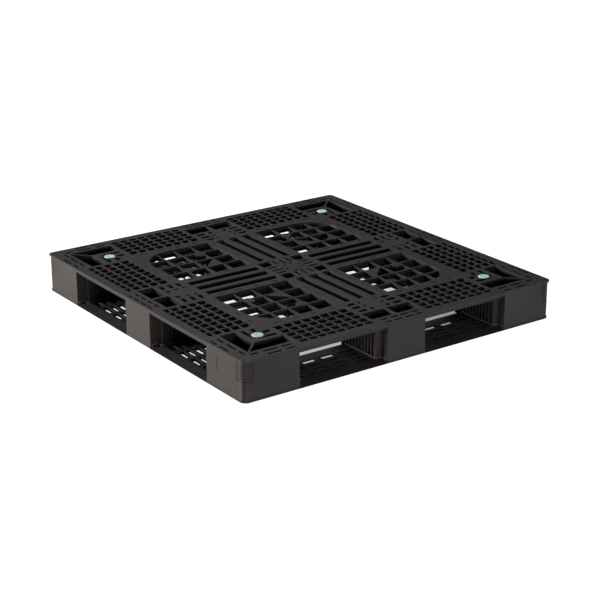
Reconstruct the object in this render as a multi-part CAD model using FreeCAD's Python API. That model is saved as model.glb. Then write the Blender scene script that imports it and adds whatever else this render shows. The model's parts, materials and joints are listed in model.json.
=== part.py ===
"""Plastic pallet, 1100 x 1100 x 120 mm, four-way entry, with nine posts and a lower deck.

Frame: origin on the floor under the pallet's centre, +Z up, +X to the right side, +Y to the
back. The front is the side at -Y. The pallet looks the same after each quarter turn, and in
the mirror, so most shapes are drawn once and turned. Lengths are in millimetres.
"""
import FreeCAD, Part
import math
import os

# Overall size
LENGTH = 1100.0
HEIGHT = 120.0
HALF = LENGTH / 2

# Vertical levels
LIP_BOTTOM = 114.0       # underside of the rim lip, where the deck rests on the posts
DECK_BOTTOM = 98.0       # underside of the deck's webs between the posts
FASCIA_BOTTOM = 109.5    # lower edge of the rim's outer face over a fork opening
BOARD_TOP = 11.0         # upper face of the lower deck
BOARD_SKIN = 4.0         # thickness of the lower deck's skin
FOOT_TOP = 5.0           # top of the lip round each post's foot
GRILLE_TOP = HEIGHT - 3.0  # top of the bars in the big openings
GRILLE_BOTTOM = 102.5    # and their underside

# Plan: every size is set out on one module
MODULE = 31.75
OPENING_START = 92.0                          # big square opening, side nearer the centre
OPENING_END = OPENING_START + 8 * MODULE      # and its far side
OPENING_CORNER = 100.0                        # radius of its corner towards the pallet's corner
LIP = 1.5                                     # how far the rim and foot lips stand out
FACE = HALF - LIP                             # outer face of the posts
RIM_CORNER = 13.0                             # corner radius of the rim lip
POST_CORNER = 18.0                            # corner radius of the corner posts

# Posts
SIDE_FACE = 68.0          # half width of a side post's outer face
CORNER_FACE = 368.0       # where a corner post's outer face starts
SIDE_CORE = 88.0          # half width of a side post and of the centre post further in
CORNER_CORE = 350.0       # where a corner post's core starts
SIDE_BACK = 361.0         # inner end of a side post
CORE_FRONT = FACE - 28.0  # depth at which the narrower outer face gives way to the core
WALL = 4.0
FIN_DEPTH = 5.0
FIN = 3.5
FIN_PITCH = 14.0
FIN_PAD = FIN_DEPTH + WALL
WEB = 5.0                 # ribs inside the posts
HOLLOW_A = 445.0          # outer edge of the chamber under the plug
HOLLOW_B = (450.0, 500.0)  # chamber under the long pockets
HOLLOW_C = (505.0, FACE - WEB)  # chamber under the rim slots

# Top deck pattern, measured outwards from the centre line of the side it lies along
LATTICE_BANDS = ((383.5, 410.0), (415.5, 440.5), (446.0, 469.5), (475.0, 499.5), (505.0, 521.5))
LATTICE_RIB = 5.0
THIN_WEB = 3.0
GRILLE_BAR = 6.5
GRILLE_LEDGE = 1.5
GRILLE_BOSS = (164.0, 272.0)
GRILLE_BOSS_RADIUS = 17.5
GROOVE_DEPTH = 12.0
GROOVE_ENDS = (OPENING_START + 3.0, OPENING_END - 3.0)
CENTRE_GROOVE = 15.0
SIDE_GROOVE = (35.0, 61.0)
MARK = (8.0, 22.0, 1.2)   # width, length and depth of the shallow marks
MARK_LINES = (80.0, 365.0)
RIM_POCKET = (527.0, 533.5)

# Anti-slip plugs
PLUG_CENTRE = 408.5
PLUG_RADIUS = 17.0
PLUG_RECESS = 20.2         # radius of the recess it sits in
PLUG_PROUD = 1.0
PLUG_HEAD = 4.0
PLUG_STEM = 12.0
PLUG_BARB = 13.5
PLUG_LENGTH = 18.0
PLUG_RING = 23.0          # outer radius of the ring that holds a plug
PLUG_SEAT = HEIGHT + PLUG_PROUD - PLUG_HEAD
PLUG_PLAY = 0.2

# Grooves round the outer corners, which leave grip ridges between them
GRIP_COUNT = 7
GRIP_TOP = 110.5          # middle of the highest one
GRIP_PITCH = 8.33
GRIP_GROOVE = 5.0         # height of each
GRIP_REACH = 34.0         # how far they run along each face
GRIP_DEPTH = 1.6

# Plain shallow panel on the left face of the front left corner post
PANEL = (-499.0, -419.0, 51.0, 98.0)     # ends along Y, then bottom and top
PANEL_DEPTH = 0.8

# Lower deck
BOARD_INNER = 381.0       # inner edge of the boards, which bounds a wheel opening
RAMP_INNER = 522.0        # where the ramp on the outer edge ends
RAMP_EDGE = 1.2           # thickness of the ramp's outer edge
ARM_HALF = 66.0
BOARD_COLUMNS = ((428.0, 16.5), (455.5, 17.5), (482.5, 12.0), (506.0, 17.0))  # slot middle and width
BOARD_SLOT = 45.0         # slot length
BOARD_PITCH = 2 * MODULE
ARM_SLOT = (62.0, 19.0)
ARM_SLOT_ROWS = (181.0, 269.0)
ARM_SLOT_COLUMN = 29.0
BLIND_DEPTH = 3.0
BEAD_WIDTH = 5.0          # bead at the foot of the posts' walls
BEAD_HEIGHT = 3.0
BEAD_END = 545.0

UP = FreeCAD.Vector(0, 0, 1)
ORIGIN = FreeCAD.Vector(0, 0, 0)


# ---------------------------------------------------------------- drawing helpers
def vector(x, y, z=0.0):
    return FreeCAD.Vector(x, y, z)


def wire(points):
    """Closed wire through the points. A point (x, y, r) is rounded with radius r."""
    starts = []
    ends = []
    edges = []
    count = len(points)
    for index, point in enumerate(points):
        corner = vector(point[0], point[1])
        if len(point) == 2:
            starts.append(corner)
            ends.append(corner)
            continue
        radius = point[2]
        before = points[index - 1]
        after = points[(index + 1) % count]
        back = (vector(before[0], before[1]) - corner).normalize()
        ahead = (vector(after[0], after[1]) - corner).normalize()
        half_angle = back.getAngle(ahead) / 2
        reach = radius / math.tan(half_angle)
        start = corner + back * reach
        end = corner + ahead * reach
        bisector = (back + ahead).normalize()
        middle = corner + bisector * (radius / math.sin(half_angle) - radius)
        edges.append((index, Part.Arc(start, middle, end).toShape()))
        starts.append(start)
        ends.append(end)
    arcs = dict(edges)
    path = []
    for index in range(count):
        if index in arcs:
            path.append(arcs[index])
        following = (index + 1) % count
        if (ends[index] - starts[following]).Length > 1e-6:
            path.append(Part.makeLine(ends[index], starts[following]))
    return Part.Wire(path)


def polygon(points):
    """Flat face through points in space."""
    corners = [vector(*point) for point in points]
    return Part.Face(Part.makePolygon(corners + [corners[0]]))


def rectangle(x0, x1, y0, y1):
    return wire([(x0, y0), (x1, y0), (x1, y1), (x0, y1)])


def circle(x, y, radius):
    return Part.Wire(Part.makeCircle(radius, vector(x, y)))


def level_face(wires, height):
    """Flat face at a height, bounded by the first wire, with the others as holes."""
    face = Part.Face(wires, "Part::FaceMakerBullseye")
    face.translate(vector(0, 0, height))
    return face


def slab(outline, holes, bottom, top):
    """Flat plate between two levels."""
    return level_face([outline] + holes, bottom).extrude(vector(0, 0, top - bottom))


def walls(wires, bottom, top):
    """Upright faces on the wires, between two levels."""
    faces = []
    for each in wires:
        shell = each.extrude(vector(0, 0, top - bottom))
        shell.translate(vector(0, 0, bottom))
        faces += shell.Faces
    return faces


def sewn(faces):
    """Solid bounded by the faces."""
    compound = Part.makeCompound(faces)
    compound.sewShape()
    solid = Part.Solid(compound.Shells[0])
    if solid.Volume < 0:
        solid.reverse()
    return solid


def block(x0, x1, y0, y1, bottom, top):
    return Part.makeBox(x1 - x0, y1 - y0, top - bottom, vector(x0, y0, bottom))


def turned_points(points, quarter):
    """The points turned about the centre by some quarter turns."""
    turned_list = []
    for point in points:
        x, y = point[0], point[1]
        for _ in range(quarter):
            x, y = -y, x
        turned_list.append((x, y) + tuple(point[2:]))
    return turned_list


def turned(shape, quarter):
    copy = shape.copy()
    copy.rotate(ORIGIN, UP, 90.0 * quarter)
    return copy


def fourfold(shapes):
    """Shapes repeated at each quarter turn."""
    return [turned(shape, quarter) for shape in shapes for quarter in range(4)]


def eightfold(shapes):
    """Shapes and their mirror images repeated at each quarter turn."""
    return fourfold(shapes + [shape.mirror(ORIGIN, vector(1, 0, 0)) for shape in shapes])


def cells(x_ranges, y_ranges):
    """Rectangles for every pair of an x range and a y range."""
    return [rectangle(x0, x1, y0, y1) for x0, x1 in x_ranges for y0, y1 in y_ranges]


def steps(start, pitch, count, gap):
    """Ranges of equal length along a line, a gap apart."""
    return [(start + pitch * k + gap / 2, start + pitch * (k + 1) - gap / 2) for k in range(count)]


def comb(start, end, inward):
    """Points from start to end along a wall with a row of fins, and a plain pad at each end."""
    run = vector(end[0] - start[0], end[1] - start[1])
    length = run.Length - 2 * FIN_PAD + FIN
    along = run.normalize()
    depth = vector(inward[0], inward[1]) * FIN_DEPTH
    count = round(length / FIN_PITCH)
    pitch = length / count
    points = []
    for k in range(count):
        here = vector(start[0], start[1]) + along * (FIN_PAD + pitch * k)
        there = here + along * (pitch - FIN)
        points += [here, here + depth, there + depth, there]
    return [(point.x, point.y) for point in points]


# ---------------------------------------------------------------- top deck
# The deck is too full of holes for solid operations, so its faces are drawn level by level
# and sewn: a plate from LIP_BOTTOM to HEIGHT, and webs below it between the posts.
def lattice_cells():
    """Cells of the lattice on half of one side, with the wider cells between the webs below."""
    middles = [(LATTICE_BANDS[k][1] + LATTICE_BANDS[k + 1][0]) / 2 for k in range(4)]
    edges = [LATTICE_BANDS[0][0] - THIN_WEB] + middles + [LATTICE_BANDS[4][1] + THIN_WEB]
    wide_bands = [(edges[k] + THIN_WEB / 2, edges[k + 1] - THIN_WEB / 2) for k in range(5)]
    upper = cells(steps(OPENING_START, MODULE, 8, LATTICE_RIB), LATTICE_BANDS)
    lower = cells(steps(OPENING_START, MODULE, 8, THIN_WEB), wide_bands)
    return eightfold(upper), eightfold(lower)


def opening_outline(margin):
    """Big square opening in the quadrant where x and y are positive, drawn in by a margin."""
    low, high = OPENING_START + margin, OPENING_END - margin
    return wire([(low, low), (high, low), (high, high, OPENING_CORNER - margin), (low, high)])


def grille_cells():
    """Cells left in the big opening by its bars, a gusset and two bosses."""
    half = GRILLE_BAR / 2
    lines = [OPENING_START + BOARD_PITCH * k for k in (1, 2, 3)]
    solid_parts = [rectangle(at - half, at + half, OPENING_START, OPENING_END) for at in lines]
    solid_parts += [rectangle(OPENING_START, OPENING_END, at - half, at + half) for at in lines]
    corner, reach = lines[0] - half, lines[1] - half
    solid_parts.append(wire([(corner, corner), (reach, corner), (corner, reach)]))
    near, far = GRILLE_BOSS
    solid_parts += [circle(near, far, GRILLE_BOSS_RADIUS), circle(far, near, GRILLE_BOSS_RADIUS)]
    open_part = Part.Face(opening_outline(GRILLE_LEDGE)).cut([Part.Face(each) for each in solid_parts])
    return [face.OuterWire for face in open_part.Faces]


def corner_cells():
    """Holes over a corner post, on one side of its diagonal."""
    low = CORNER_CORE + 5.6
    inner, outer = 451.0, 499.0
    half_rib = 4.2
    holes = cells(((374.0, 404.0), (417.0, 463.0)), ((533.3, 540.7),))
    holes += cells(((370.0, 404.0), (417.0, 463.0), (478.0, 505.6)), ((511.0, 519.0),))
    holes.append(wire([(low, inner), (inner - half_rib, inner), (outer - half_rib, outer), (low, outer)]))
    holes.append(rectangle(362.0, 385.0, 391.0, 407.0))
    beside_plug = Part.Face(rectangle(361.0, 420.0, 423.0, 436.0))
    ring = Part.Face(circle(PLUG_CENTRE, PLUG_CENTRE, PLUG_RING))
    holes.append(beside_plug.cut(ring).Faces[0].OuterWire)
    return holes


def side_cells():
    """Holes over one half of a side post."""
    holes = [rectangle(4.0, 84.0, 447.0, 499.0)]
    holes += cells(((5.0, 34.0), (43.0, 65.0)), ((533.3, 540.7),))
    holes += cells(((4.0, 32.0), (42.0, 68.0)), ((511.0, 519.0),))
    holes += cells(((47.0, 77.0),), ((390.5, 405.5), (419.5, 434.5)))
    holes += cells(((28.0, 36.0),), ((363.0, 377.0), (391.0, 405.0)))
    holes += cells(((20.0, 34.0),), ((420.0, 434.0),))
    holes.append(wire([(47.0, 363.0), (66.0, 363.0), (77.0, 372.0), (77.0, 378.0), (47.0, 378.0)]))
    return holes


def centre_cells():
    """Holes over the centre post."""
    corner = wire([(50.0, 40.0), (80.0, 40.0), (80.0, 80.0), (40.0, 80.0), (40.0, 50.0)])
    axis = rectangle(-4.5, 4.5, 38.0, 76.0)
    beside = rectangle(20.0, 29.0, 42.0, 76.0)
    ray = wire([(5.0, 24.0), (10.0, 22.5), (15.0, 35.0), (10.0, 36.0)])
    return fourfold([corner, axis]) + eightfold([beside, ray])


def grooves():
    """Long grooves in the cross arms."""
    return fourfold(cells(((-CENTRE_GROOVE, CENTRE_GROOVE),), (GROOVE_ENDS,))) \
        + eightfold(cells((SIDE_GROOVE,), (GROOVE_ENDS,)))


def marks():
    """Shallow marks along the solid bands."""
    width, length, _ = MARK
    wires = []
    for k in range(4):
        middle = OPENING_START + BOARD_PITCH * (k + 0.5)
        for line in MARK_LINES:
            wires.append(rectangle(line - width / 2, line + width / 2, middle - length / 2,
                                   middle + length / 2))
    return eightfold(wires)


def underside_pockets():
    """Hollows under the solid bands of the deck, between its webs."""
    along = steps(OPENING_START, BOARD_PITCH, 4, THIN_WEB)
    pockets = cells(along, ((OPENING_END + THIN_WEB, LATTICE_BANDS[0][0] - 1.5 * THIN_WEB), RIM_POCKET))
    pockets += cells(((CENTRE_GROOVE + THIN_WEB, SIDE_GROOVE[0] - THIN_WEB),
                      (SIDE_GROOVE[1] + THIN_WEB, OPENING_START - THIN_WEB)), along)
    return eightfold(pockets)


def between_posts(rim):
    """Outline of the webs, which fill the plan between the posts out to the rim."""
    quarter = [(SIDE_FACE, rim), (SIDE_FACE, CORE_FRONT), (SIDE_CORE, CORE_FRONT), (SIDE_CORE, SIDE_BACK),
               (-SIDE_CORE, SIDE_BACK), (-SIDE_CORE, CORE_FRONT), (-SIDE_FACE, CORE_FRONT),
               (-SIDE_FACE, rim), (-CORNER_FACE, rim), (-CORNER_FACE, CORE_FRONT),
               (-CORNER_CORE, CORE_FRONT), (-CORNER_CORE, CORNER_CORE), (-CORE_FRONT, CORNER_CORE),
               (-CORE_FRONT, CORNER_FACE), (-rim, CORNER_FACE)]
    points = []
    for turn in range(4):
        points += turned_points(quarter, turn)
    return points


def web_walls():
    """Outer walls of the webs. Over a fork opening the lower edge of the rim is chamfered."""
    inset = FACE - (FASCIA_BOTTOM - DECK_BOTTOM)
    outside = between_posts(FACE)
    inside = between_posts(inset)
    walls = []
    for index, here in enumerate(outside):
        after = outside[(index + 1) % len(outside)]
        low_here, low_after = inside[index], inside[(index + 1) % len(inside)]
        if here == low_here and after == low_after:
            walls.append(polygon([here + (DECK_BOTTOM,), after + (DECK_BOTTOM,), after + (LIP_BOTTOM,),
                                  here + (LIP_BOTTOM,)]))
        elif here != low_here and after != low_after:
            walls.append(polygon([here + (FASCIA_BOTTOM,), after + (FASCIA_BOTTOM,),
                                  after + (LIP_BOTTOM,), here + (LIP_BOTTOM,)]))
            walls.append(polygon([low_here + (DECK_BOTTOM,), low_after + (DECK_BOTTOM,),
                                  after + (FASCIA_BOTTOM,), here + (FASCIA_BOTTOM,)]))
        else:
            rim, low_rim, root = (here, low_here, after) if here != low_here else (after, low_after, here)
            walls.append(polygon([low_rim + (DECK_BOTTOM,), rim + (FASCIA_BOTTOM,), rim + (LIP_BOTTOM,),
                                  root + (LIP_BOTTOM,), root + (DECK_BOTTOM,)]))
    return walls


def plug_places():
    return [(PLUG_CENTRE * x, PLUG_CENTRE * y) for x, y in ((-1, -1), (1, -1), (1, 1), (-1, 1))]


def top_deck():
    upper, lower = lattice_cells()
    openings = fourfold([opening_outline(0.0)])
    grille = fourfold(grille_cells())
    rim_cells = eightfold(corner_cells() + side_cells())
    middle_cells = centre_cells()
    long_grooves, shallow_marks, pockets = grooves(), marks(), underside_pockets()
    seats = [circle(x, y, PLUG_RECESS) for x, y in plug_places()]
    stem_holes = [circle(x, y, PLUG_STEM + PLUG_PLAY) for x, y in plug_places()]
    rim = wire([(HALF, -HALF, RIM_CORNER), (HALF, HALF, RIM_CORNER), (-HALF, HALF, RIM_CORNER),
                (-HALF, -HALF, RIM_CORNER)])
    centre = rectangle(-SIDE_CORE, SIDE_CORE, -SIDE_CORE, SIDE_CORE)
    outer_webs = wire(between_posts(FACE))
    lower_webs = wire(between_posts(FACE - (FASCIA_BOTTOM - DECK_BOTTOM)))

    above = upper + openings + rim_cells + middle_cells + long_grooves + shallow_marks + seats
    faces = [level_face([rim] + above, HEIGHT)]
    faces += [level_face([rim, outer_webs] + rim_cells + stem_holes, LIP_BOTTOM)]
    faces += [level_face([centre] + middle_cells, LIP_BOTTOM)]
    faces += [level_face([lower_webs, centre] + openings + lower + pockets, DECK_BOTTOM)]
    faces += [level_face(list(pair), LIP_BOTTOM) for pair in zip(lower, upper)]
    faces += [level_face([pocket], LIP_BOTTOM) for pocket in pockets]
    faces += level_face(openings + grille, GRILLE_TOP).Faces
    faces += level_face(openings + grille, GRILLE_BOTTOM).Faces
    faces += [level_face([groove], HEIGHT - GROOVE_DEPTH) for groove in long_grooves]
    faces += [level_face([mark], HEIGHT - MARK[2]) for mark in shallow_marks]
    faces += [level_face(list(pair), PLUG_SEAT) for pair in zip(seats, stem_holes)]

    faces += walls([rim] + upper + rim_cells + middle_cells, LIP_BOTTOM, HEIGHT)
    faces += walls(openings, GRILLE_TOP, HEIGHT)
    faces += walls(openings, DECK_BOTTOM, GRILLE_BOTTOM)
    faces += walls(grille, GRILLE_BOTTOM, GRILLE_TOP)
    faces += walls(long_grooves, HEIGHT - GROOVE_DEPTH, HEIGHT)
    faces += walls(shallow_marks, HEIGHT - MARK[2], HEIGHT)
    faces += walls(seats, PLUG_SEAT, HEIGHT)
    faces += walls(stem_holes, LIP_BOTTOM, PLUG_SEAT)
    faces += walls(lower + pockets + [centre], DECK_BOTTOM, LIP_BOTTOM)
    faces += web_walls()
    return sewn(faces)


# ---------------------------------------------------------------- posts
def grip_groove(height):
    """What a groove takes away round the outer corner of a corner post."""
    start, outside, bed = FACE - GRIP_REACH, FACE + 1.0, FACE - GRIP_DEPTH
    path = [(start, outside), (start, bed), (bed, bed, POST_CORNER), (bed, start), (outside, start),
            (outside, outside)]
    return slab(wire(path), [], height - GRIP_GROOVE / 2, height + GRIP_GROOVE / 2)


def corner_post():
    """Corner post of the quadrant where x and y are positive."""
    wall_at = CORNER_CORE + FIN_DEPTH + WALL
    outline = [(CORNER_CORE, CORNER_CORE)]
    outline += comb((CORNER_CORE, CORNER_CORE), (CORE_FRONT, CORNER_CORE), (0, 1))
    outline += [(CORE_FRONT, CORNER_CORE), (CORE_FRONT, CORNER_FACE), (FACE, CORNER_FACE),
                (FACE, FACE, POST_CORNER), (CORNER_FACE, FACE), (CORNER_FACE, CORE_FRONT),
                (CORNER_CORE, CORE_FRONT)]
    outline += comb((CORNER_CORE, CORE_FRONT), (CORNER_CORE, CORNER_CORE), (1, 0))
    low, high = HOLLOW_B
    shift = WEB * math.sqrt(0.5)
    pocket = [(wall_at, low), (low - shift, low), (high - shift, high), (wall_at, high)]
    first, last = HOLLOW_C
    start = CORNER_FACE + WALL
    rim_chamber = [(start, first), (first, first), (first, start), (last, start),
                   (last, last, POST_CORNER - WEB), (start, last)]
    holes = [rectangle(wall_at, HOLLOW_A, wall_at, HOLLOW_A), wire(pocket),
             wire([(y, x) for x, y in reversed(pocket)]), wire(rim_chamber)]
    body = slab(wire(outline), holes, FOOT_TOP, LIP_BOTTOM)
    body = body.cut([grip_groove(GRIP_TOP - k * GRIP_PITCH) for k in range(GRIP_COUNT)])
    foot_outline = wire([(CORNER_CORE, CORNER_CORE), (CORE_FRONT, CORNER_CORE), (CORE_FRONT, CORNER_FACE),
                         (HALF, CORNER_FACE), (HALF, HALF, POST_CORNER), (CORNER_FACE, HALF),
                         (CORNER_FACE, CORE_FRONT), (CORNER_CORE, CORE_FRONT)])
    foot = slab(foot_outline, [], 0, FOOT_TOP)
    return body.fuse(foot)


def side_post():
    """Side post on the side at +Y."""
    left, right = -SIDE_CORE, SIDE_CORE
    outline = comb((left, SIDE_BACK), (right, SIDE_BACK), (0, 1))
    outline = [(left, SIDE_BACK)] + outline + [(right, SIDE_BACK)]
    outline += comb((right, SIDE_BACK), (right, CORE_FRONT), (-1, 0))
    outline += [(right, CORE_FRONT), (SIDE_FACE, CORE_FRONT), (SIDE_FACE, FACE), (-SIDE_FACE, FACE),
                (-SIDE_FACE, CORE_FRONT), (left, CORE_FRONT)]
    outline += comb((left, CORE_FRONT), (left, SIDE_BACK), (1, 0))
    inside = SIDE_CORE - FIN_DEPTH - WALL
    halves = ((-inside, -WEB / 2), (WEB / 2, inside))
    face_halves = ((WALL - SIDE_FACE, -WEB / 2), (WEB / 2, SIDE_FACE - WALL))
    holes = cells(halves, ((SIDE_BACK + FIN_DEPTH + WALL, HOLLOW_A), HOLLOW_B))
    holes += cells(face_halves, (HOLLOW_C,))
    body = slab(wire(outline), holes, FOOT_TOP, LIP_BOTTOM)
    foot_outline = wire([(left, SIDE_BACK), (right, SIDE_BACK), (right, CORE_FRONT),
                         (SIDE_FACE, CORE_FRONT), (SIDE_FACE, HALF), (-SIDE_FACE, HALF),
                         (-SIDE_FACE, CORE_FRONT), (left, CORE_FRONT)])
    return body.fuse(slab(foot_outline, [], 0, FOOT_TOP))


def centre_post():
    low, high = -SIDE_CORE, SIDE_CORE
    quarter = [(low, low)] + comb((low, low), (high, low), (0, 1))
    outline = []
    for turn in range(4):
        outline += turned_points(quarter, turn)
    inside = SIDE_CORE - FIN_DEPTH - WALL
    halves = ((-inside, -WEB / 2), (WEB / 2, inside))
    body = slab(wire(outline), cells(halves, halves), FOOT_TOP, LIP_BOTTOM)
    return body.fuse(block(low, high, low, high, 0, FOOT_TOP))


# ---------------------------------------------------------------- lower deck
def bead(start, end, away):
    """Bead with a sloped side, at the foot of a post's wall from start to end."""
    top = BOARD_TOP + BEAD_HEIGHT
    profile = [(0.0, 0.0), (BEAD_WIDTH, 0.0), (BEAD_WIDTH, BOARD_TOP + 0.3), (0.4 * BEAD_WIDTH, top),
               (0.0, top)]
    face = polygon([(start[0] + away[0] * out, start[1] + away[1] * out, z) for out, z in profile])
    return face.extrude(vector(end[0] - start[0], end[1] - start[1]))


def bottom_board(open_columns):
    """Board on the side at +Y, between the side post and the corner post at +X.

    The two middle slots of each open column go right through, and the others are blind. The
    underside is hollow and open towards the wheel opening.
    """
    outline = [(SIDE_CORE, BOARD_INNER), (CORNER_CORE, BOARD_INNER), (CORNER_CORE, CORE_FRONT),
               (CORNER_FACE, CORE_FRONT), (CORNER_FACE, HALF), (SIDE_FACE, HALF),
               (SIDE_FACE, CORE_FRONT), (SIDE_CORE, CORE_FRONT)]
    board = slab(wire(outline), [], 0, BOARD_TOP)
    beads = [bead((SIDE_CORE, BOARD_INNER), (SIDE_CORE, CORE_FRONT), (1, 0)),
             bead((SIDE_FACE, CORE_FRONT), (SIDE_CORE + BEAD_WIDTH, CORE_FRONT), (0, 1)),
             bead((SIDE_FACE, CORE_FRONT), (SIDE_FACE, BEAD_END), (1, 0)),
             bead((CORNER_CORE, BOARD_INNER), (CORNER_CORE, CORE_FRONT), (-1, 0)),
             bead((CORNER_CORE - BEAD_WIDTH, CORE_FRONT), (CORNER_FACE, CORE_FRONT), (0, 1)),
             bead((CORNER_FACE, CORE_FRONT), (CORNER_FACE, BEAD_END), (-1, 0))]
    ramp = Part.Face(Part.makePolygon([
        vector(0, RAMP_INNER, BOARD_TOP), vector(0, HALF, RAMP_EDGE), vector(0, HALF, BOARD_TOP),
        vector(0, RAMP_INNER, BOARD_TOP)])).extrude(vector(HALF, 0, 0))
    rows = [OPENING_START + BOARD_PITCH * (k + 0.5) for k in range(4)]
    cutters = [ramp]
    for row in rows:
        for middle, width in BOARD_COLUMNS:
            open_slot = row in rows[1:3] and (middle, width) in open_columns
            bottom = -1.0 if open_slot else BOARD_TOP - BLIND_DEPTH
            cutters.append(block(row - BOARD_SLOT / 2, row + BOARD_SLOT / 2, middle - width / 2,
                                 middle + width / 2, bottom, BOARD_TOP + 1))
    middles = [middle for middle, _ in BOARD_COLUMNS]
    edges = [BOARD_INNER - THIN_WEB] + [(a + b) / 2 for a, b in zip(middles, middles[1:])] + [RAMP_INNER]
    across = [(a + THIN_WEB / 2, b - THIN_WEB / 2) for a, b in zip(edges, edges[1:])]
    along = steps(OPENING_START, BOARD_PITCH, 4, THIN_WEB)
    under = BOARD_TOP - BOARD_SKIN
    cutters += [block(x0, x1, y0, y1, -1.0, under) for x0, x1 in along for y0, y1 in across]
    return board.cut(cutters).fuse(beads)


def bottom_arm():
    """Cross arm of the lower deck, from the centre post to the side post at +Y."""
    arm = block(-ARM_HALF, ARM_HALF, SIDE_CORE, SIDE_BACK, 0, BOARD_TOP)
    length, width = ARM_SLOT
    cutters = []
    for column in (-ARM_SLOT_COLUMN, ARM_SLOT_COLUMN):
        for row in ARM_SLOT_ROWS:
            cutters.append(block(column - width / 2, column + width / 2, row - length / 2,
                                 row + length / 2, -1.0, BOARD_TOP + 1))
    under = BOARD_TOP - BOARD_SKIN
    rows = [SIDE_CORE, (SIDE_CORE + ARM_SLOT_ROWS[0]) / 2, sum(ARM_SLOT_ROWS) / 2, SIDE_BACK]
    columns = [-ARM_HALF, 0.0, ARM_HALF]
    for y0, y1 in zip(rows, rows[1:]):
        for x0, x1 in zip(columns, columns[1:]):
            cutters.append(block(x0 + THIN_WEB, x1 - THIN_WEB, y0 + THIN_WEB, y1 - THIN_WEB, -1.0, under))
    return arm.cut(cutters)


# ---------------------------------------------------------------- plugs
def anti_slip_plug(x, y):
    """Rubber plug: a domed head with a dimple, a stem and a barb that holds under the deck."""
    top = HEIGHT + PLUG_PROUD
    round_edge = 1.5
    dimple = 4.0
    foot = PLUG_SEAT - PLUG_LENGTH
    barb_top = LIP_BOTTOM - PLUG_PLAY
    corners = [vector(0, 0, top - 0.8), vector(dimple, 0, top - 0.8), vector(dimple + 0.8, 0, top),
               vector(PLUG_RADIUS - round_edge, 0, top), vector(PLUG_RADIUS, 0, top - round_edge),
               vector(PLUG_RADIUS, 0, PLUG_SEAT), vector(PLUG_STEM, 0, PLUG_SEAT),
               vector(PLUG_STEM, 0, barb_top), vector(PLUG_BARB, 0, barb_top),
               vector(PLUG_STEM - 2, 0, foot), vector(0, 0, foot)]
    profile = Part.Face(Part.makePolygon(corners + [corners[0]]))
    plug = profile.revolve(ORIGIN, UP, 360)
    plug.translate(vector(x, y, 0))
    return plug


# ---------------------------------------------------------------- the pallet
CORNERS = ("front_left", "front_right", "back_right", "back_left")
SIDES = ("front", "right", "back", "left")


def parts():
    """Every node's name with its solid."""
    yield "top_deck", top_deck()
    corner, side, arm = corner_post(), side_post(), bottom_arm()
    for index, name in enumerate(CORNERS):
        post = turned(corner, (index + 2) % 4)
        if name == "front_left":
            near, far, bottom, top = PANEL
            post = post.cut(block(-HALF, PANEL_DEPTH - FACE, near, far, bottom, top))
        yield "corner_post_" + name, post
    for index, name in enumerate(SIDES):
        yield "side_post_" + name, turned(side, (index + 2) % 4)
        yield "bottom_arm_" + name, turned(arm, (index + 2) % 4)
    yield "centre_post", centre_post()
    kinds = ((("back", "front"), BOARD_COLUMNS[:1]), (("left", "right"), BOARD_COLUMNS))
    for pair, open_columns in kinds:
        board = bottom_board(open_columns)
        mirrored = board.mirror(ORIGIN, vector(1, 0, 0))
        for name in pair:
            index = SIDES.index(name)
            before, after = SIDES[(index + 3) % 4], SIDES[(index + 1) % 4]
            yield "bottom_board_%s_%s" % (name, before), turned(board, (index + 2) % 4)
            yield "bottom_board_%s_%s" % (name, after), turned(mirrored, (index + 2) % 4)
    for name, (x, y) in zip(CORNERS, plug_places()):
        yield "anti_slip_plug_" + name, anti_slip_plug(x, y)


def main():
    os.makedirs("parts", exist_ok=True)
    for name, shape in parts():
        solids = shape.Solids
        if len(solids) != 1 or not shape.isValid():
            raise RuntimeError("%s is not one valid solid: %d" % (name, len(solids)))
        solids[0].exportStep("parts/%s.step" % name)
        print("%-28s %7.1f cm3" % (name, solids[0].Volume / 1000.0))


main()
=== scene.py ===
"""Looks of the plastic pallet: softened moulded edges, materials, studio light and camera.

Metres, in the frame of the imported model: origin on the floor under the centre, +Z up.
"""
import bpy
import json
import math
from mathutils import Euler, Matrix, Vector


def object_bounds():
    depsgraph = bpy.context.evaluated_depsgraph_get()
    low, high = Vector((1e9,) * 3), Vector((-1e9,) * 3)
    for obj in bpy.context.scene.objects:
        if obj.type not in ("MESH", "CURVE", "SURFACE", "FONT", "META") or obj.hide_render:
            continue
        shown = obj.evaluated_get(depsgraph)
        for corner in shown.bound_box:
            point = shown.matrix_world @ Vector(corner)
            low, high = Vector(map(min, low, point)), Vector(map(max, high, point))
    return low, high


# Moulded edges
EDGE_RADIUS = 0.0008
EDGE_SEGMENTS = 2
SHARP_ANGLE = 35.0              # degrees: sharper folds than this are rounded
FLAT_ANGLE = 0.5                # degrees: faces that fold less than this become one face
WELD_DISTANCE = 0.00002         # corners closer than this become one corner

# Beads on the lower deck, painted pale as a highlight
BEAD_FOOT = 0.0112              # height where they start
BEAD_FADE = 0.001               # height over which the painted highlight sets in

# Colours, in linear light
CHARCOAL = (0.0163, 0.0148, 0.0141)
FLOW_MARK = (0.0200, 0.0181, 0.0170)
GRAIN = (0.0245, 0.0222, 0.0215)
SCUFF = (0.031, 0.028, 0.0266)
RUBBED_EDGE = (0.037, 0.034, 0.0326)
# painted highlight on the beads' tops, standing in for their glint
BEAD_HIGHLIGHT_GREY = (0.085, 0.080, 0.076)
SKY_BLUE = (0.48, 0.75, 0.91)
PALE_BLUE = (0.57, 0.81, 0.93)
DIRTY_BLUE = (0.26, 0.40, 0.50)
WHITE = (1.0, 1.0, 1.0)
WARM_WHITE = (1.0, 0.92, 0.88)
WARMER_WHITE = (1.0, 0.92, 0.86)

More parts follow.
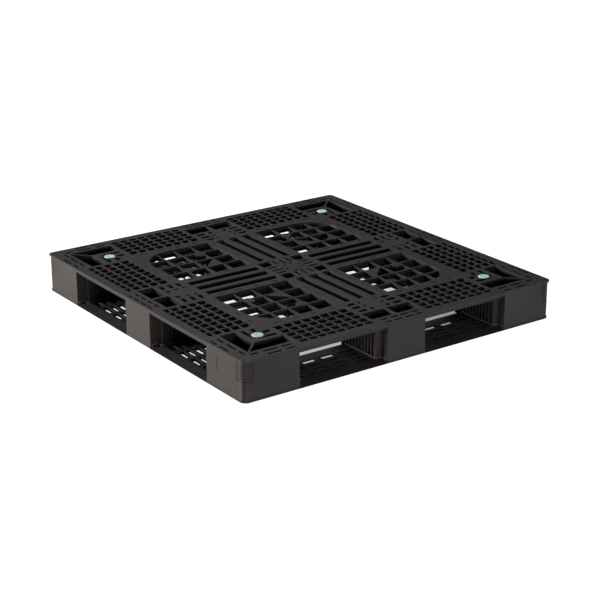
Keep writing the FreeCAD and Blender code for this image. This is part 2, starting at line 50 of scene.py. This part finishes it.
# Floor
FLOOR_DROP = 0.001              # how far below the pallet it lies
FLOOR_SPREAD = 36.0             # its width, in widths of the shaded part under the pallet
FLOOR_LIGHT = 1.2               # its brightness, where 1 is white
SHADE_INSET = 0.001             # how far inside the pallet's sides the shaded part ends
SHADE_CORNER = 0.014            # length cut off each side at the shaded part's corners
SHADE_LIGHT = (0.30, 0.85)      # brightness of the shaded part, at the front and further back
SHADE_BACK = (-0.3, 1.0, 0.0)   # direction in which the shade gets lighter
SHADE_SPAN = (-0.45, 0.05)      # where that begins and ends, measured along SHADE_BACK

# Light
WORLD_LIGHT = 0.027
LIGHT_TARGET = Vector((0.0, 0.0, 0.06))

# Camera
CAMERA_YAW = 35.50              # degrees that it looks to the right of straight back
CAMERA_PITCH = 20.23            # degrees that it looks down
CAMERA_ROLL = -0.09             # degrees
CAMERA_TARGET = Vector((0.0348, 0.0190, 0.0))
CAMERA_DISTANCE = 4.961
CAMERA_LENS = 96.48             # mm, on a sensor CAMERA_SENSOR wide
CAMERA_SENSOR = 36.0            # mm
CAMERA_REACH = 60.0             # farthest distance that it shows

# The colour mix node's sockets, by number because other sockets of the node have the same names
MIX_AMOUNT, MIX_FIRST, MIX_SECOND = 0, 6, 7
MIX_RESULT = 2

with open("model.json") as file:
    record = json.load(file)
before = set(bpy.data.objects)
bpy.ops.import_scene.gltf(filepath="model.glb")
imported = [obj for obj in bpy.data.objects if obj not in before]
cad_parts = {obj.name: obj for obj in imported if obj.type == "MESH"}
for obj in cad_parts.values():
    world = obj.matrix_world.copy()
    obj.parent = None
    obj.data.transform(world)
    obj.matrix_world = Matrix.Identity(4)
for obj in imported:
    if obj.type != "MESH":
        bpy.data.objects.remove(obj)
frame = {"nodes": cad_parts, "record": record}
cad_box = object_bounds()


# ---------------------------------------------------------------- materials
class Nodes:
    """A new material's node tree, with short calls to add and join nodes."""

    def __init__(self, name, shader="ShaderNodeBsdfPrincipled"):
        self.material = bpy.data.materials.new(name)
        self.material.use_nodes = True
        self.tree = self.material.node_tree
        self.tree.nodes.clear()
        self.shader = self.add(shader)
        surface = self.add("ShaderNodeOutputMaterial").inputs["Surface"]
        self.join(self.shader.outputs[0], surface)
        self.place = self.add("ShaderNodeTexCoord").outputs["Object"]

    def add(self, kind, **settings):
        """A new node. The settings are its own properties."""
        node = self.tree.nodes.new(kind)
        for key, value in settings.items():
            setattr(node, key, value)
        return node

    def join(self, source, target):
        """Feeds one node's output into another node's input."""
        self.tree.links.new(source, target)

    def noise(self, scale, detail=3.0, roughness=0.5, stretch=None):
        """Noise over the piece. Each axis's scale is multiplied by stretch, if given."""
        place = self.place
        if stretch:
            mapping = self.add("ShaderNodeMapping")
            mapping.inputs["Scale"].default_value = stretch
            self.join(place, mapping.inputs["Vector"])
            place = mapping.outputs["Vector"]
        noise = self.add("ShaderNodeTexNoise")
        noise.inputs["Scale"].default_value = scale
        noise.inputs["Detail"].default_value = detail
        noise.inputs["Roughness"].default_value = roughness
        self.join(place, noise.inputs["Vector"])
        return noise.outputs["Fac"]

    def span(self, value, source, target):
        """The value, carried from the range source to the range target and kept inside it."""
        node = self.add("ShaderNodeMapRange")
        for name, number in zip(("From Min", "From Max", "To Min", "To Max"), source + target):
            node.inputs[name].default_value = number
        self.join(value, node.inputs["Value"])
        return node.outputs["Result"]

    def blend(self, amount, first, second):
        """Colour blend. Each of first and second is a socket or an (r, g, b) colour."""
        node = self.add("ShaderNodeMix", data_type="RGBA")
        self.join(amount, node.inputs[MIX_AMOUNT])
        for socket, value in ((node.inputs[MIX_FIRST], first), (node.inputs[MIX_SECOND], second)):
            if isinstance(value, tuple):
                socket.default_value = value + (1.0,)
            else:
                self.join(value, socket)
        return node.outputs[MIX_RESULT]

    def bump(self, height, strength, distance, below=None):
        """Normals of a relief, on top of those of the relief below if one is given."""
        node = self.add("ShaderNodeBump")
        node.inputs["Strength"].default_value = strength
        node.inputs["Distance"].default_value = distance
        self.join(height, node.inputs["Height"])
        if below:
            self.join(below, node.inputs["Normal"])
        return node.outputs["Normal"]


def moulded_plastic(name, highlight_height=None):
    """Charcoal polypropylene: fine moulded grain, soft flow marks, edges paled by rubbing.

    Above the given height, if one is given, the surface is painted pale as a highlight.
    """
    nodes = Nodes(name)
    flow = nodes.noise(scale=7.0, detail=4.0, roughness=0.6)
    grain = nodes.noise(scale=900.0, detail=2.0, roughness=0.6)
    scuffs = nodes.noise(scale=60.0, detail=6.0, roughness=0.7, stretch=(1.0, 1.0, 3.0))
    edges = nodes.add("ShaderNodeNewGeometry").outputs["Pointiness"]
    tone = nodes.blend(nodes.span(flow, (0.35, 0.65), (0.0, 1.0)), CHARCOAL, FLOW_MARK)
    tone = nodes.blend(nodes.span(grain, (0.3, 0.7), (0.0, 0.25)), tone, GRAIN)
    tone = nodes.blend(nodes.span(scuffs, (0.62, 0.8), (0.0, 0.35)), tone, SCUFF)
    tone = nodes.blend(nodes.span(edges, (0.52, 0.6), (0.0, 0.35)), tone, RUBBED_EDGE)
    # Painted highlight: above the given height the boards are painted pale, standing in for the
    # glint on the beads
    if highlight_height:
        apart = nodes.add("ShaderNodeSeparateXYZ")
        nodes.join(nodes.place, apart.inputs["Vector"])
        painted_highlight = nodes.span(apart.outputs["Z"], (highlight_height, highlight_height + BEAD_FADE), (0.0, 1.0))
        tone = nodes.blend(painted_highlight, tone, BEAD_HIGHLIGHT_GREY)
    wave = nodes.bump(nodes.noise(scale=22.0, detail=2.0), strength=0.15, distance=0.002)
    relief = nodes.bump(grain, strength=0.25, distance=0.0003, below=wave)
    nodes.join(tone, nodes.shader.inputs["Base Color"])
    nodes.join(nodes.span(flow, (0.3, 0.7), (0.50, 0.62)), nodes.shader.inputs["Roughness"])
    nodes.join(relief, nodes.shader.inputs["Normal"])
    nodes.shader.inputs["Specular IOR Level"].default_value = 0.18
    return nodes.material


def plug_rubber():
    """Sky-blue thermoplastic rubber with a matte skin and a little dirt."""
    nodes = Nodes("plug_rubber")
    cloud = nodes.noise(scale=90.0, detail=4.0, roughness=0.6)
    grain = nodes.noise(scale=1400.0, detail=2.0)
    dirt = nodes.noise(scale=260.0, detail=5.0, roughness=0.7)
    tone = nodes.blend(nodes.span(cloud, (0.3, 0.7), (0.0, 1.0)), SKY_BLUE, PALE_BLUE)
    tone = nodes.blend(nodes.span(dirt, (0.6, 0.8), (0.0, 0.35)), tone, DIRTY_BLUE)
    relief = nodes.bump(grain, strength=0.2, distance=0.0002)
    nodes.join(tone, nodes.shader.inputs["Base Color"])
    nodes.join(nodes.span(cloud, (0.3, 0.7), (0.55, 0.7)), nodes.shader.inputs["Roughness"])
    nodes.join(relief, nodes.shader.inputs["Normal"])
    return nodes.material


def bright_floor():
    """Even white floor, which the lamps don't change."""
    nodes = Nodes("floor", "ShaderNodeEmission")
    nodes.shader.inputs["Strength"].default_value = FLOOR_LIGHT
    return nodes.material


def shaded_floor():
    """Glowing floor under the pallet, with painted shade that is darkest at the front."""
    nodes = Nodes("floor_under", "ShaderNodeEmission")
    back = nodes.add("ShaderNodeVectorMath", operation="DOT_PRODUCT")
    back.inputs[1].default_value = SHADE_BACK
    nodes.join(nodes.place, back.inputs[0])
    light = nodes.span(back.outputs["Value"], SHADE_SPAN, SHADE_LIGHT)
    nodes.join(light, nodes.shader.inputs["Strength"])
    return nodes.material


# ---------------------------------------------------------------- pieces of the frame
def soften(piece):
    """Rounds the piece's edges as a mould does, without changing its mesh."""
    weld = piece.modifiers.new("weld", "WELD")
    weld.merge_threshold = WELD_DISTANCE
    flatten = piece.modifiers.new("flatten", "DECIMATE")
    flatten.decimate_type = "DISSOLVE"
    flatten.angle_limit = math.radians(FLAT_ANGLE)
    bevel = piece.modifiers.new("edge", "BEVEL")
    bevel.width = EDGE_RADIUS
    bevel.segments = EDGE_SEGMENTS
    bevel.limit_method = "ANGLE"
    bevel.angle_limit = math.radians(SHARP_ANGLE)


def dress_pieces():
    """Gives every piece its material and soft edges."""
    materials = {"moulded_plastic": moulded_plastic("moulded_plastic"), "plug_rubber": plug_rubber()}
    # the boards' material, with a painted highlight on the beads
    board_material = moulded_plastic("board_plastic", BEAD_FOOT)
    slots = {entry["node"]: entry["material_slot"] for entry in frame["record"]["subparts"]}
    for name, piece in frame["nodes"].items():
        piece.data.materials.clear()
        is_board = name.startswith("bottom_board")
        piece.data.materials.append(board_material if is_board else materials[slots[name]])
        soften(piece)


# ---------------------------------------------------------------- studio
def studio_floor():
    """Bright pale floor. Its part under the pallet throws no light back up, as if in shade.

    Both parts share one set of points: the floor's outer outline, then the shaded part's.
    """
    side = cad_box[1][0] - SHADE_INSET
    cut = side - SHADE_CORNER
    outline = [(side, -cut), (side, cut)]
    for _ in range(3):
        outline += [(-y, x) for x, y in outline[-2:]]
    points = [(x * size, y * size, -FLOOR_DROP) for size in (FLOOR_SPREAD, 1.0) for x, y in outline]
    count = len(outline)
    around = [(k, (k + 1) % count, count + (k + 1) % count, count + k) for k in range(count)]
    under = [range(count, 2 * count)]
    parts = (("floor", around, bright_floor()), ("floor_under", under, shaded_floor()))
    for name, faces, material in parts:
        mesh = bpy.data.meshes.new(name)
        mesh.from_pydata(points, [], faces)
        mesh.materials.append(material)
        piece = bpy.data.objects.new(name, mesh)
        piece.visible_diffuse = faces is around
        piece.visible_glossy = faces is around
        bpy.context.scene.collection.objects.link(piece)


def soft_light(name, place, size, power, colour):
    """Square area light aimed at the pallet."""
    data = bpy.data.lights.new(name, "AREA")
    data.size = size
    data.energy = power
    data.color = colour
    lamp = bpy.data.objects.new(name, data)
    lamp.location = place
    lamp.rotation_euler = (LIGHT_TARGET - Vector(place)).to_track_quat("-Z", "Y").to_euler()
    bpy.context.scene.collection.objects.link(lamp)


def world_light():
    """Faint even light from everywhere."""
    world = bpy.data.worlds.new("studio")
    world.use_nodes = True
    background = world.node_tree.nodes["Background"]
    background.inputs["Color"].default_value = WHITE + (1.0,)
    background.inputs["Strength"].default_value = WORLD_LIGHT
    bpy.context.scene.world = world


def camera():
    """Camera at the front left, looking down at the deck."""
    data = bpy.data.cameras.new("camera")
    data.lens = CAMERA_LENS
    data.sensor_width = CAMERA_SENSOR
    data.clip_end = CAMERA_REACH
    yaw = math.radians(CAMERA_YAW)
    pitch = math.radians(CAMERA_PITCH)
    level = math.cos(pitch)
    ahead = Vector((math.sin(yaw) * level, math.cos(yaw) * level, -math.sin(pitch)))
    roll = Euler((0.0, 0.0, math.radians(CAMERA_ROLL))).to_matrix()
    eye = bpy.data.objects.new("camera", data)
    eye.location = CAMERA_TARGET - ahead * CAMERA_DISTANCE
    eye.rotation_euler = (ahead.to_track_quat("-Z", "Y").to_matrix() @ roll).to_euler()
    bpy.context.scene.collection.objects.link(eye)
    bpy.context.scene.camera = eye


dress_pieces()
studio_floor()
world_light()
soft_light("key", place=(-8.0, 6.0, 1.1), size=2.6, power=1980.0, colour=WARMER_WHITE)
soft_light("fill", place=(-1.0, -5.4, 0.6), size=1.6, power=150.0, colour=WARM_WHITE)
soft_light("back", place=(1.2, 2.6, 4.2), size=2.4, power=138.0, colour=WHITE)
camera()
bpy.context.scene.view_settings.view_transform = "Standard"
